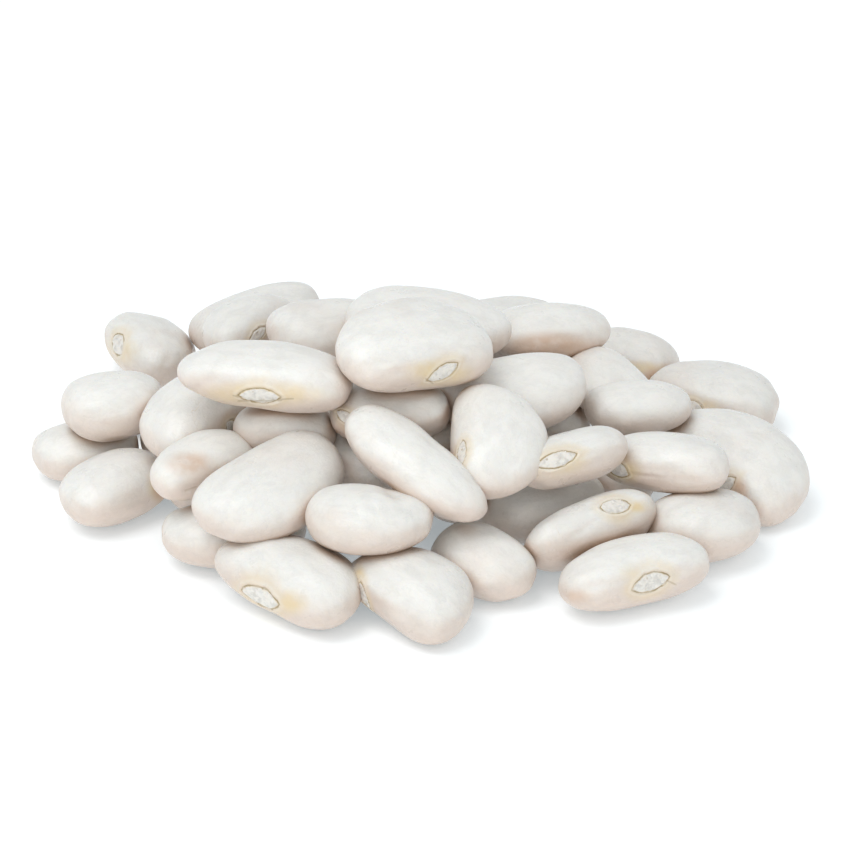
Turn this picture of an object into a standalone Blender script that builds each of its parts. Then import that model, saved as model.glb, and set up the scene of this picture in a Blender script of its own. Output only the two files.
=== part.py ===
"""A heap of dried white runner beans as it lies on a table, fused into one solid.

Every bean is one smooth kidney form. The beans are laid one by one, the lowest first: each has
the middle of its outline on a sight line, read off the reference picture, and its rough height
in the heap, and slides a little along that line until it just touches those laid before it.
Lengths are in millimetres until the last step, and angles in degrees where they are listed.
"""

import math
from collections import namedtuple

import bmesh
import bpy
import numpy as np
from mathutils import Matrix

MM = 0.001

# The solid: few sides a bean, and a low mound inside that the lower beans are fused to.
BEAN_SIDES = 10
BEAN_RINGS = 8
FUSE_SWELL = 0.4
TABLE_GAP = 0.05
CORE_SIDES = 40
CORE_RINGS = 16
CORE_MIDDLE = (-1.0, 3.0)
CORE_HALF_SPREAD = (31.0, 24.0)
CORE_TOP = 17.0
CUT_DISTANCE = 1e-6
WELD = 0.002

# The sight: where the heap is looked at from, and the picture's scale.
PICTURE_SIDE = 850
SIGHT_ELEVATION = math.radians(26.0)
SIGHT_DISTANCE = 600.0
PIXELS_PER_MM = 6.5
SIGHT_TARGET = np.array([0.0, 0.0, 9.5])

# The form that all the beans share, as shares of each bean's own size.
FULLNESS = 2.35
BACK_SWELL = 0.10
BEND_CENTRE = 0.35
FILLER_BEND = 0.08
TAPER = 0.07
TAPER_END = 1.5

# How the heap is laid.
PRESS = 0.5
SLIDE = 2.5
SLIDE_STEP = 0.25
DROP_FROM = 24.0
TIPS = (0.0, -9.0, 9.0)
SAMPLE_SEGMENTS = 28
SAMPLE_RINGS = 18
REACH_SPARE = 1.0
APART = -9.0
MIDDLE_LEVEL = 0.05

# The skin, as linear colour and roughness.
SKIN_COLOUR = (0.79, 0.75, 0.69, 1.0)
SKIN_ROUGHNESS = 0.42

# A seen bean: the middle of its outline in the picture, its height over the table, its turn, its
# size, and how far it bends. A filler is hidden by those in front: it has a place on the table, and
# drops onto the heap.
Bean = namedtuple("Bean", "name column row height heading pitch roll length breadth thickness bend")
FILLER_SIZES = "name x y heading pitch roll length breadth thickness bend"
Filler = namedtuple("Filler", FILLER_SIZES, defaults=[FILLER_BEND])
ON_TABLE = None

BEANS = (
    Bean("front_left", 289, 580, ON_TABLE, -40, -4, 5, 24.0, 15.0, 10.0, 0.10),
    Bean("front_middle", 410, 595, ON_TABLE, -46, -5, 10, 20.5, 14.5, 9.5, 0.12),
    Bean("front_small", 485, 562, ON_TABLE, 140, 6, 0, 16.5, 13.0, 9.5, 0.02),
    Bean("front_right", 632, 574, ON_TABLE, 25, 1, -10, 23.0, 14.5, 9.5, 0.08),
    Bean("left_low", 234, 532, ON_TABLE, 190, 0, 0, 21.5, 14.0, 9.0, 0.06),
    Bean("left_end", 86, 450, ON_TABLE, 195, 0, 0, 16.5, 13.0, 8.5, 0.04),
    Bean("left_near", 116, 489, ON_TABLE, 50, 0, 0, 19.0, 14.5, 9.5, 0.05),
    Bean("right_low", 702, 525, ON_TABLE, 205, 0, 5, 18.0, 15.5, 10.0, 0.06),
    Bean("shaded", 540, 504, ON_TABLE, 205, 0, 0, 21.0, 14.0, 9.5, 0.06),
    Bean("edge_up", 589, 532, ON_TABLE, 30, 5, -50, 21.5, 14.5, 9.0, 0.05),
    Bean("left_back", 147, 350, ON_TABLE, -58, -6, -5, 18.5, 13.5, 9.5, 0.06),
    Bean("right_back", 628, 361, ON_TABLE, -35, -3, -5, 17.0, 13.5, 9.5, 0.05),
    Bean("right_far", 714, 398, ON_TABLE, -28, -2, 5, 21.5, 14.5, 9.5, 0.08),
    Bean("right_end", 737, 464, ON_TABLE, -50, -14, 10, 25.5, 16.5, 10.0, 0.14),
    Filler("inner_1", -36, 7, 60, 0, 0, 21.0, 14.0, 9.5),
    Filler("inner_2", -29, -11, 10, 0, 0, 20.0, 13.0, 9.0),
    Filler("inner_3", -8, -9, 0, 0, 0, 21.0, 14.0, 9.0),
    Filler("inner_4", 13, -4, 0, 0, 0, 20.0, 13.0, 9.0),
    Filler("inner_5", 31, -4, 90, 0, 0, 18.0, 12.0, 9.0),
    Filler("inner_6", -16, 7, 165, 0, 0, 21.0, 14.0, 9.5),
    Filler("inner_7", 3, 12, 5, 0, 0, 18.0, 13.0, 9.5),
    Filler("inner_8", 20, 14, 100, 0, 0, 20.0, 14.0, 9.5),
    Filler("inner_9", -25, 23, 15, 0, 0, 20.0, 13.0, 9.0),
    Filler("inner_10", -4, 26, 170, 0, 0, 21.0, 14.0, 9.5),
    Filler("inner_11", 16, 31, 10, 0, 0, 21.0, 14.0, 9.5),
    Filler("inner_12", -47, 17, 0, 0, 0, 14.0, 10.0, 7.5),
    Filler("inner_13", 5, -21, 80, 0, 0, 14.0, 10.0, 8.0),
    Filler("inner_14", 35, 10, 25, 0, 0, 13.0, 10.0, 7.5),
    Filler("rear_1", -12, 38.5, 15, 0, 0, 19.0, 13.0, 9.0),
    Filler("rear_2", 5, 42.5, 170, 0, 0, 18.0, 13.0, 9.0),
    Filler("rear_3", 22, 45, 165, 0, 0, 16.0, 11.5, 8.5),
    Filler("second_1", -20, -3, 30, 0, 0, 21.0, 14.0, 9.0),
    Filler("second_2", -1, -6, 110, 0, 0, 21.0, 14.0, 9.0),
    Filler("second_3", 15, 4, 60, 0, 0, 20.0, 13.0, 9.0),
    Filler("second_4", -3, 11, 20, 0, 0, 20.0, 13.0, 9.0),
    Filler("second_5", -15, 21, 60, 0, 0, 18.0, 12.0, 8.5),
    Filler("second_6", -27, 12, 100, 0, 0, 16.0, 11.5, 8.0),
    Filler("second_7", 2, 25, 30, 0, 0, 19.0, 13.0, 9.0),
    Bean("notched", 369, 518, 13.0, 172, 0, -5, 18.5, 13.5, 9.0, 0.09),
    Bean("under_crown", 350, 458, 10.0, -45, -5, 0, 18.0, 12.0, 8.5, 0.06),
    Bean("left_upper", 114, 404, 13.0, 195, 0, 0, 16.0, 13.5, 10.0, 0.04),
    Bean("left_eye", 195, 417, 12.5, 62, 10, 0, 20.0, 14.5, 9.5, 0.08),
    Bean("brown_spot", 202, 466, 12.0, 40, 4, 20, 17.5, 10.5, 7.5, 0.05),
    Bean("far_left", 256, 319, 12.5, 200, -11, 0, 22.0, 14.0, 9.5, 0.08),
    Bean("back_pair", 249, 327, 15.0, 50, 0, 0, 18.0, 11.5, 8.5, 0.08),
    Bean("back_right_far", 509, 326, 10.0, 190, 0, 0, 17.0, 14.0, 9.0, 0.05),
    Bean("back_right", 549, 331, 14.0, 185, 0, 0, 19.5, 12.5, 8.5, 0.05),
    Bean("wedged", 611, 386, 11.0, 120, 5, 0, 18.5, 12.5, 8.5, 0.08),
    Bean("right_eye", 664, 463, 11.0, -22, 4, 0, 20.0, 12.5, 8.5, 0.06),
    Bean("eye_out", 570, 458, 14.5, 28, 4, -26, 17.5, 12.5, 8.0, 0.06),
    Bean("right_small", 638, 408, 13.0, 185, 0, 0, 16.5, 11.0, 8.0, 0.04),
    Bean("broad_left", 270, 485, 15.0, 225, -10, -15, 25.5, 16.5, 9.0, 0.07),
    Bean("tucked", 285, 430, 14.5, -10, -3, 0, 15.5, 12.0, 8.0, 0.04),
    Bean("back_shoulder", 325, 330, 18.0, 195, 0, -10, 18.0, 14.0, 9.5, 0.06),
    Bean("middle_eye", 389, 411, 18.5, 12, 0, 0, 18.0, 14.5, 9.0, 0.08),
    Bean("slanting", 415, 465, 16.5, 140, 20, 10, 26.0, 12.5, 8.5, 0.05),
    Bean("broad_right", 513, 391, 18.5, 200, -2, -12, 23.5, 16.0, 9.5, 0.08),
    Bean("upright", 491, 441, 18.5, -88, -25, 0, 20.5, 15.0, 8.0, 0.09),
    Bean("behind_crown", 427, 326, 21.0, 155, -3, 0, 26.5, 18.0, 10.5, 0.06),
    Bean("long_left", 266, 377, 24.0, -12, -1, 0, 26.5, 15.0, 9.0, 0.05),
    Bean("crown", 413, 350, 27.0, 28, -3, 18, 24.5, 18.0, 10.0, 0.06),
)


def directions(segments, rings):
    """Unit directions of a sphere with its poles on the long axis, ring by ring."""
    found = [(1.0, 0.0, 0.0)]
    for ring in range(1, rings):
        along = math.pi * ring / rings
        for segment in range(segments):
            around = 2.0 * math.pi * segment / segments
            y = math.sin(along) * math.cos(around)
            z = math.sin(along) * math.sin(around)
            found.append((math.cos(along), y, z))
    found.append((-1.0, 0.0, 0.0))
    return np.array(found)


def kidney(unit, bean):
    """Points of a bean's surface in its own frame: X its length, -Y its eye, Z its thickness."""
    across = np.hypot(unit[:, 1], unit[:, 2])
    swell = (np.abs(unit[:, 0]) ** FULLNESS + across**FULLNESS) ** (-1.0 / FULLNESS)
    x, y, z = (unit * swell[:, None]).T
    width = 1.0 + TAPER * x
    y = y * (1.0 - 0.5 * BACK_SWELL + BACK_SWELL * y) * width
    ys = bean.breadth * (0.5 * y - bean.bend * (x * x - BEND_CENTRE))
    return np.stack([0.5 * bean.length * x, ys, 0.5 * bean.thickness * z * width], axis=1)


def level(points, bean):
    """How far out each point is in the bean's own frame: 1 is its skin, and less is inside."""
    x = points[:, 0] / (0.5 * bean.length)
    width = 1.0 + TAPER * np.clip(x, -TAPER_END, TAPER_END)
    swollen = 2.0 * (points[:, 1] / bean.breadth + bean.bend * (x * x - BEND_CENTRE)) / width
    base = 1.0 - 0.5 * BACK_SWELL
    root = np.sqrt(np.maximum(base * base + 4.0 * BACK_SWELL * swollen, 0.0))
    y = (root - base) / (2.0 * BACK_SWELL)
    z = points[:, 2] / (0.5 * bean.thickness * width)
    return (np.abs(x) ** FULLNESS + np.hypot(y, z) ** FULLNESS) ** (1.0 / FULLNESS)


def stance(bean):
    """The turn of a bean: its heading on the table, then its nose up by pitch, then its roll."""
    turn = (
        Matrix.Rotation(math.radians(bean.heading), 3, "Z")
        @ Matrix.Rotation(math.radians(-bean.pitch), 3, "Y")
        @ Matrix.Rotation(math.radians(bean.roll), 3, "X")
    )
    return np.array(turn)


def sight_line(column, row):
    """The eye's place, and the direction of the line through a point of the picture."""
    back = np.array([0.0, -math.cos(SIGHT_ELEVATION), math.sin(SIGHT_ELEVATION)])
    up = np.array([0.0, math.sin(SIGHT_ELEVATION), math.cos(SIGHT_ELEVATION)])
    right = np.array([1.0, 0.0, 0.0])
    eye = SIGHT_TARGET + SIGHT_DISTANCE * back
    half = 0.5 * PICTURE_SIDE
    aim = SIGHT_TARGET + ((column - half) * right - (row - half) * up) / PIXELS_PER_MM
    return eye, aim - eye


def on_line(line, height):
    """The point of a sight line at this height over the table."""
    eye, way = line
    return eye + way * ((height - eye[2]) / way[2])


class Laid:
    """A bean where it lies, with points of its skin to measure by."""

    def __init__(self, bean):
        self.bean = bean
        self.turn = stance(bean)
        self.skin = kidney(directions(SAMPLE_SEGMENTS, SAMPLE_RINGS), bean) @ self.turn.T
        self.low = -self.skin[:, 2].min()
        self.reach = 0.5 * bean.length + REACH_SPARE
        self.middle = np.zeros(3)

    def depth_of(self, points):
        """How deep the deepest of these points lies in the bean."""
        own = (points - self.middle) @ self.turn
        far = np.maximum(level(own, self.bean), MIDDLE_LEVEL)
        return float(np.max(np.linalg.norm(own, axis=1) * (1.0 / far - 1.0)))

    def overlap(self, others):
        """The deepest overlap with the beans laid before."""
        deepest = APART
        for other in others:
            if np.linalg.norm(other.middle - self.middle) > self.reach + other.reach:
                continue
            into = other.depth_of(self.skin + self.middle)
            onto = self.depth_of(other.skin + other.middle)
            deepest = max(deepest, into, onto)
        return deepest


def first_free(laid, places, others):
    """Puts the bean at the lowest place above all those where it would be pressed too deep."""
    best = None
    least = math.inf
    for place in reversed(places):
        laid.middle = place
        overlap = laid.overlap(others)
        if overlap > PRESS and best is not None:
            break
        if overlap <= PRESS:
            best = place
        elif overlap < least:
            least = overlap
            tightest = place
    laid.middle = tightest if best is None else best


def drop(filler, others):
    """A hidden bean falls straight down, tipped the way that lets it lie lowest."""
    lowest = None
    for pitch in TIPS:
        for roll in TIPS:
            laid = Laid(filler._replace(pitch=pitch, roll=roll))
            heights = np.arange(laid.low, DROP_FROM, SLIDE_STEP)
            places = [np.array([filler.x, filler.y, height]) for height in heights]
            first_free(laid, places, others)
            if lowest is None or laid.middle[2] < lowest.middle[2] - SLIDE_STEP:
                lowest = laid
    return lowest


def lay(bean, others):
    """The bean where it comes to lie among those laid before."""
    if isinstance(bean, Filler):
        return drop(bean, others)
    laid = Laid(bean)
    line = sight_line(bean.column, bean.row)
    if bean.height is ON_TABLE:
        laid.middle = on_line(line, laid.low)
        return laid
    lowest = max(bean.height - SLIDE, laid.low)
    heights = np.arange(lowest, bean.height + SLIDE, SLIDE_STEP)
    first_free(laid, [on_line(line, height) for height in heights], others)
    return laid


def lay_heap():
    """All the beans where they lie, in the order in which they are laid."""
    heap = []
    for bean in BEANS:
        heap.append(lay(bean, heap))
    return heap


def clear_scene():
    for obj in list(bpy.data.objects):
        bpy.data.objects.remove(obj, do_unlink=True)


def ball(sides, rings, pole):
    """A sphere primitive of radius 1 with its poles on this axis, X or Z."""
    mesh = bmesh.new()
    bmesh.ops.create_uvsphere(mesh, u_segments=sides, v_segments=rings, radius=1.0)
    if pole == "X":
        quarter = Matrix.Rotation(math.radians(90.0), 3, "Y")
        bmesh.ops.rotate(mesh, verts=mesh.verts, matrix=quarter)
    return mesh


def object_of(mesh, name, collection):
    data = bpy.data.meshes.new(name)
    mesh.to_mesh(data)
    mesh.free()
    obj = bpy.data.objects.new(name, data)
    collection.objects.link(obj)
    return obj


def bean_object(laid, collection):
    """One bean of few sides where it lies, a hair swollen so that touching beans fuse."""
    mesh = ball(BEAN_SIDES, BEAN_RINGS, "X")
    unit = np.array([vertex.co for vertex in mesh.verts])
    unit = unit / np.linalg.norm(unit, axis=1)[:, None]
    points = (kidney(unit, laid.bean) + FUSE_SWELL * unit) @ laid.turn.T + laid.middle
    points[:, 2] += max(TABLE_GAP - points[:, 2].min(), 0.0)
    for vertex, point in zip(mesh.verts, points * MM):
        vertex.co = point
    bmesh.ops.recalc_face_normals(mesh, faces=mesh.faces)
    return object_of(mesh, laid.bean.name, collection)


def core_object(collection):
    """The mound inside the heap: half a flattened ball with a flat base on the table."""
    mesh = ball(CORE_SIDES, CORE_RINGS, "Z")
    half = (CORE_HALF_SPREAD[0] * MM, CORE_HALF_SPREAD[1] * MM, CORE_TOP * MM)
    bmesh.ops.scale(mesh, verts=mesh.verts, vec=half)
    middle = (CORE_MIDDLE[0] * MM, CORE_MIDDLE[1] * MM, 0.0)
    bmesh.ops.translate(mesh, verts=mesh.verts, vec=middle)
    cut = bmesh.ops.bisect_plane(
        mesh,
        geom=mesh.verts[:] + mesh.edges[:] + mesh.faces[:],
        dist=CUT_DISTANCE,
        plane_co=(0, 0, 0),
        plane_no=(0, 0, -1),
        clear_outer=True,
    )
    rim = [edge for edge in cut["geom_cut"] if isinstance(edge, bmesh.types.BMEdge)]
    bmesh.ops.contextual_create(mesh, geom=rim)
    bmesh.ops.recalc_face_normals(mesh, faces=mesh.faces)
    return object_of(mesh, "bean_heap", collection)


def fuse(core, pieces):
    """Joins the beans to the core in one Boolean union, applied, and removes them."""
    union = core.modifiers.new("fuse", "BOOLEAN")
    union.operation = "UNION"
    union.operand_type = "COLLECTION"
    union.collection = pieces
    union.solver = "EXACT"
    union.use_self = True
    graph = bpy.context.evaluated_depsgraph_get()
    fused = bpy.data.meshes.new_from_object(core.evaluated_get(graph))
    core.modifiers.remove(union)
    core.data = fused
    for obj in list(pieces.objects):
        bpy.data.objects.remove(obj, do_unlink=True)
    bpy.data.collections.remove(pieces)


def shells_of(mesh):
    """The faces of the mesh, shell by shell."""
    left = set(mesh.faces)
    shells = []
    while left:
        front = [left.pop()]
        shell = list(front)
        while front:
            face = front.pop()
            near = {other for edge in face.edges for other in edge.link_faces} & left
            left -= near
            front.extend(near)
            shell.extend(near)
        shells.append(shell)
    return shells


def keep_outer_shell(obj):
    """Fills the hollows that the fusing sealed, and drops loose scraps."""
    mesh = bmesh.new()
    mesh.from_mesh(obj.data)
    bmesh.ops.remove_doubles(mesh, verts=mesh.verts, dist=WELD * MM)
    bmesh.ops.triangulate(mesh, faces=mesh.faces)
    shells = sorted(shells_of(mesh), key=len)
    inner = [face for shell in shells[:-1] for face in shell]
    bmesh.ops.delete(mesh, geom=inner, context="FACES")
    mesh.to_mesh(obj.data)
    mesh.free()


def centre_on_table(obj):
    """Moves the heap so that the middle of its outline's box is over the origin."""
    points = np.array([vertex.co for vertex in obj.data.vertices])
    middle = 0.5 * (points.min(axis=0) + points.max(axis=0))
    obj.data.transform(Matrix.Translation((-middle[0], -middle[1], 0.0)))


def bean_skin():
    """The pale, faintly glossy skin of a dried white bean."""
    material = bpy.data.materials.new("dried bean skin")
    material.use_nodes = True
    shader = material.node_tree.nodes["Principled BSDF"]
    shader.inputs["Base Color"].default_value = SKIN_COLOUR
    shader.inputs["Roughness"].default_value = SKIN_ROUGHNESS
    return material


def build():
    clear_scene()
    heap = bpy.data.collections.new("heap of dried beans")
    pieces = bpy.data.collections.new("beans to fuse")
    bpy.context.scene.collection.children.link(heap)
    bpy.context.scene.collection.children.link(pieces)
    for laid in lay_heap():
        bean_object(laid, pieces)
    core = core_object(heap)
    fuse(core, pieces)
    keep_outer_shell(core)
    centre_on_table(core)
    core.data.materials.clear()
    core.data.materials.append(bean_skin())
    core.data.shade_smooth()


build()
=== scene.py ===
"""The heap of dried white beans, dressed: each bean at full detail where the part has it, with
its eye, stains and creases, on a white table under soft studio light.

Lengths are in millimetres until the meshes are written, and angles in degrees where listed.
The lamps and the table are in metres.
"""

import math
from collections import namedtuple

import bpy
import numpy as np
from mathutils import Matrix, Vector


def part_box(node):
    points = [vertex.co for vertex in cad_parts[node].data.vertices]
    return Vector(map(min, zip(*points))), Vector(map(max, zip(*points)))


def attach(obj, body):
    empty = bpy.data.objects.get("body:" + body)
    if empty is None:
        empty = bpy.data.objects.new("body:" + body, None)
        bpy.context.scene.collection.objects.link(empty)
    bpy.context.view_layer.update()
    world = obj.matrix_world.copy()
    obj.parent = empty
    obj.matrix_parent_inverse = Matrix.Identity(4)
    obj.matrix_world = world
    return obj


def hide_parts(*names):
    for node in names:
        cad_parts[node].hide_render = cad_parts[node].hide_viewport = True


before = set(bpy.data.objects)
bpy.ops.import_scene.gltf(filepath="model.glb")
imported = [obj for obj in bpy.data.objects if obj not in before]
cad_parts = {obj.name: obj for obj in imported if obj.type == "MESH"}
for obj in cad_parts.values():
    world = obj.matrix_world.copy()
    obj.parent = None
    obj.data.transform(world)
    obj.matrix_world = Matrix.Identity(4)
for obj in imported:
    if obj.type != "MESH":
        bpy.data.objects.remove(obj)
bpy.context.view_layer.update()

MM = 0.001
rng = np.random.default_rng(57)

# The sight: where the heap is looked at from, and the picture's scale.
PICTURE_SIDE = 850
SIGHT_ELEVATION = math.radians(26.0)
SIGHT_DISTANCE = 600.0
PIXELS_PER_MM = 6.5
SIGHT_TARGET = np.array([0.0, 0.0, 9.5])
SENSOR = 36.0

# The form that all the beans share, as shares of each bean's own size.
FULLNESS = 2.35
BACK_SWELL = 0.10
BEND_CENTRE = 0.35
FILLER_BEND = 0.08
TAPER = 0.07
TAPER_END = 1.5

# How the heap is laid.
PRESS = 0.5
SLIDE = 2.5
SLIDE_STEP = 0.25
DROP_FROM = 24.0
TIPS = (0.0, -9.0, 9.0)
SAMPLE_SEGMENTS = 28
SAMPLE_RINGS = 18
REACH_SPARE = 1.0
APART = -9.0
MIDDLE_LEVEL = 0.05
TABLE_GAP = 0.05

# A seen bean: the middle of its outline in the picture, its height over the table, its turn, its
# size, and how far it bends. A filler is hidden by those in front: it has a place on the table, and
# drops onto the heap.
Bean = namedtuple("Bean", "name column row height heading pitch roll length breadth thickness bend")
FILLER_SIZES = "name x y heading pitch roll length breadth thickness bend"
Filler = namedtuple("Filler", FILLER_SIZES, defaults=[FILLER_BEND])
ON_TABLE = None

BEANS = (
    Bean("front_left", 289, 580, ON_TABLE, -40, -4, 5, 24.0, 15.0, 10.0, 0.10),
    Bean("front_middle", 410, 595, ON_TABLE, -46, -5, 10, 20.5, 14.5, 9.5, 0.12),
    Bean("front_small", 485, 562, ON_TABLE, 140, 6, 0, 16.5, 13.0, 9.5, 0.02),
    Bean("front_right", 632, 574, ON_TABLE, 25, 1, -10, 23.0, 14.5, 9.5, 0.08),
    Bean("left_low", 234, 532, ON_TABLE, 190, 0, 0, 21.5, 14.0, 9.0, 0.06),
    Bean("left_end", 86, 450, ON_TABLE, 195, 0, 0, 16.5, 13.0, 8.5, 0.04),
    Bean("left_near", 116, 489, ON_TABLE, 50, 0, 0, 19.0, 14.5, 9.5, 0.05),
    Bean("right_low", 702, 525, ON_TABLE, 205, 0, 5, 18.0, 15.5, 10.0, 0.06),
    Bean("shaded", 540, 504, ON_TABLE, 205, 0, 0, 21.0, 14.0, 9.5, 0.06),
    Bean("edge_up", 589, 532, ON_TABLE, 30, 5, -50, 21.5, 14.5, 9.0, 0.05),
    Bean("left_back", 147, 350, ON_TABLE, -58, -6, -5, 18.5, 13.5, 9.5, 0.06),
    Bean("right_back", 628, 361, ON_TABLE, -35, -3, -5, 17.0, 13.5, 9.5, 0.05),
    Bean("right_far", 714, 398, ON_TABLE, -28, -2, 5, 21.5, 14.5, 9.5, 0.08),
    Bean("right_end", 737, 464, ON_TABLE, -50, -14, 10, 25.5, 16.5, 10.0, 0.14),
    Filler("inner_1", -36, 7, 60, 0, 0, 21.0, 14.0, 9.5),
    Filler("inner_2", -29, -11, 10, 0, 0, 20.0, 13.0, 9.0),
    Filler("inner_3", -8, -9, 0, 0, 0, 21.0, 14.0, 9.0),
    Filler("inner_4", 13, -4, 0, 0, 0, 20.0, 13.0, 9.0),
    Filler("inner_5", 31, -4, 90, 0, 0, 18.0, 12.0, 9.0),
    Filler("inner_6", -16, 7, 165, 0, 0, 21.0, 14.0, 9.5),
    Filler("inner_7", 3, 12, 5, 0, 0, 18.0, 13.0, 9.5),
    Filler("inner_8", 20, 14, 100, 0, 0, 20.0, 14.0, 9.5),
    Filler("inner_9", -25, 23, 15, 0, 0, 20.0, 13.0, 9.0),
    Filler("inner_10", -4, 26, 170, 0, 0, 21.0, 14.0, 9.5),
    Filler("inner_11", 16, 31, 10, 0, 0, 21.0, 14.0, 9.5),
    Filler("inner_12", -47, 17, 0, 0, 0, 14.0, 10.0, 7.5),
    Filler("inner_13", 5, -21, 80, 0, 0, 14.0, 10.0, 8.0),
    Filler("inner_14", 35, 10, 25, 0, 0, 13.0, 10.0, 7.5),
    Filler("rear_1", -12, 38.5, 15, 0, 0, 19.0, 13.0, 9.0),
    Filler("rear_2", 5, 42.5, 170, 0, 0, 18.0, 13.0, 9.0),
    Filler("rear_3", 22, 45, 165, 0, 0, 16.0, 11.5, 8.5),
    Filler("second_1", -20, -3, 30, 0, 0, 21.0, 14.0, 9.0),
    Filler("second_2", -1, -6, 110, 0, 0, 21.0, 14.0, 9.0),
    Filler("second_3", 15, 4, 60, 0, 0, 20.0, 13.0, 9.0),
    Filler("second_4", -3, 11, 20, 0, 0, 20.0, 13.0, 9.0),
    Filler("second_5", -15, 21, 60, 0, 0, 18.0, 12.0, 8.5),
    Filler("second_6", -27, 12, 100, 0, 0, 16.0, 11.5, 8.0),
    Filler("second_7", 2, 25, 30, 0, 0, 19.0, 13.0, 9.0),
    Bean("notched", 369, 518, 13.0, 172, 0, -5, 18.5, 13.5, 9.0, 0.09),
    Bean("under_crown", 350, 458, 10.0, -45, -5, 0, 18.0, 12.0, 8.5, 0.06),
    Bean("left_upper", 114, 404, 13.0, 195, 0, 0, 16.0, 13.5, 10.0, 0.04),
    Bean("left_eye", 195, 417, 12.5, 62, 10, 0, 20.0, 14.5, 9.5, 0.08),
    Bean("brown_spot", 202, 466, 12.0, 40, 4, 20, 17.5, 10.5, 7.5, 0.05),
    Bean("far_left", 256, 319, 12.5, 200, -11, 0, 22.0, 14.0, 9.5, 0.08),
    Bean("back_pair", 249, 327, 15.0, 50, 0, 0, 18.0, 11.5, 8.5, 0.08),
    Bean("back_right_far", 509, 326, 10.0, 190, 0, 0, 17.0, 14.0, 9.0, 0.05),
    Bean("back_right", 549, 331, 14.0, 185, 0, 0, 19.5, 12.5, 8.5, 0.05),
    Bean("wedged", 611, 386, 11.0, 120, 5, 0, 18.5, 12.5, 8.5, 0.08),
    Bean("right_eye", 664, 463, 11.0, -22, 4, 0, 20.0, 12.5, 8.5, 0.06),
    Bean("eye_out", 570, 458, 14.5, 28, 4, -26, 17.5, 12.5, 8.0, 0.06),
    Bean("right_small", 638, 408, 13.0, 185, 0, 0, 16.5, 11.0, 8.0, 0.04),
    Bean("broad_left", 270, 485, 15.0, 225, -10, -15, 25.5, 16.5, 9.0, 0.07),
    Bean("tucked", 285, 430, 14.5, -10, -3, 0, 15.5, 12.0, 8.0, 0.04),
    Bean("back_shoulder", 325, 330, 18.0, 195, 0, -10, 18.0, 14.0, 9.5, 0.06),
    Bean("middle_eye", 389, 411, 18.5, 12, 0, 0, 18.0, 14.5, 9.0, 0.08),
    Bean("slanting", 415, 465, 16.5, 140, 20, 10, 26.0, 12.5, 8.5, 0.05),
    Bean("broad_right", 513, 391, 18.5, 200, -2, -12, 23.5, 16.0, 9.5, 0.08),
    Bean("upright", 491, 441, 18.5, -88, -25, 0, 20.5, 15.0, 8.0, 0.09),
    Bean("behind_crown", 427, 326, 21.0, 155, -3, 0, 26.5, 18.0, 10.5, 0.06),
    Bean("long_left", 266, 377, 24.0, -12, -1, 0, 26.5, 15.0, 9.0, 0.05),
    Bean("crown", 413, 350, 27.0, 28, -3, 18, 24.5, 18.0, 10.0, 0.06),
)

# The eyes that show: the middle of each in the picture, how far it leans there (right end up),
# and its real length and breadth.
Eye = namedtuple("Eye", "bean column row lean length breadth")
EYES = (
    Eye("front_left", 259, 600, -13, 8.0, 3.7),
    Eye("front_middle", 363, 598, -70, 4.6, 1.8),
    Eye("front_right", 651, 583, 18, 6.2, 3.0),
    Eye("edge_up", 616, 506, 6, 5.0, 2.7),
    Eye("left_back", 117, 346, -62, 4.8, 3.4),
    Eye("left_eye", 231, 427, -50, 4.0, 2.2),
    Eye("long_left", 259, 397, -2, 6.8, 2.8),
    Eye("crown", 444, 373, 30, 5.6, 2.4),
    Eye("back_pair", 258, 335, 40, 4.4, 2.0),
    Eye("middle_eye", 345, 417, -35, 4.2, 1.8),
    Eye("eye_out", 557, 459, 17, 6.6, 2.5),
    Eye("right_eye", 616, 470, -25, 4.2, 2.6),
    Eye("right_end", 725, 487, 42, 4.6, 2.4),
    Eye("right_far", 693, 407, -20, 3.6, 1.8),
    Eye("upright", 461, 452, 88, 4.6, 2.0),
)

# Stains of the skin: the middle and half sizes of each in the picture, in its points.
Stain = namedtuple("Stain", "bean kind column row wide high strength")
STAINS = (
    Stain("long_left", "yellow", 262, 394, 66, 14, 0.9),
    Stain("front_left", "yellow", 290, 604, 20, 15, 0.75),
    Stain("front_middle", "yellow", 359, 578, 7, 14, 0.9),
    Stain("edge_up", "yellow", 636, 507, 16, 8, 0.9),
    Stain("crown", "yellow", 440, 372, 36, 16, 0.9),
    Stain("left_eye", "yellow", 234, 428, 14, 16, 0.8),
    Stain("eye_out", "yellow", 560, 460, 30, 18, 0.8),
    Stain("right_eye", "yellow", 622, 472, 22, 15, 0.9),
    Stain("right_far", "yellow", 707, 408, 16, 9, 0.7),
    Stain("right_back", "yellow", 640, 368, 26, 7, 0.9),
    Stain("upright", "yellow", 459, 470, 8, 20, 0.7),
    Stain("left_near", "yellow", 158, 486, 12, 18, 0.8),
    Stain("left_back", "yellow", 121, 352, 20, 18, 0.6),
    Stain("front_right", "yellow", 640, 574, 26, 12, 0.4),
    Stain("brown_spot", "brown", 190, 464, 26, 14, 0.8),
    Stain("back_right", "brown", 550, 344, 52, 14, 0.8),
    Stain("front_right", "brown", 576, 596, 18, 9, 0.5),
    Stain("right_end", "brown", 738, 491, 12, 14, 0.8),
    Stain("right_back", "brown", 652, 377, 10, 9, 0.9),
    Stain("left_near", "brown", 160, 492, 8, 12, 0.8),
    Stain("middle_eye", "brown", 350, 430, 30, 16, 0.4),
    Stain("notched", "brown", 330, 520, 22, 16, 0.25),
)

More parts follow.
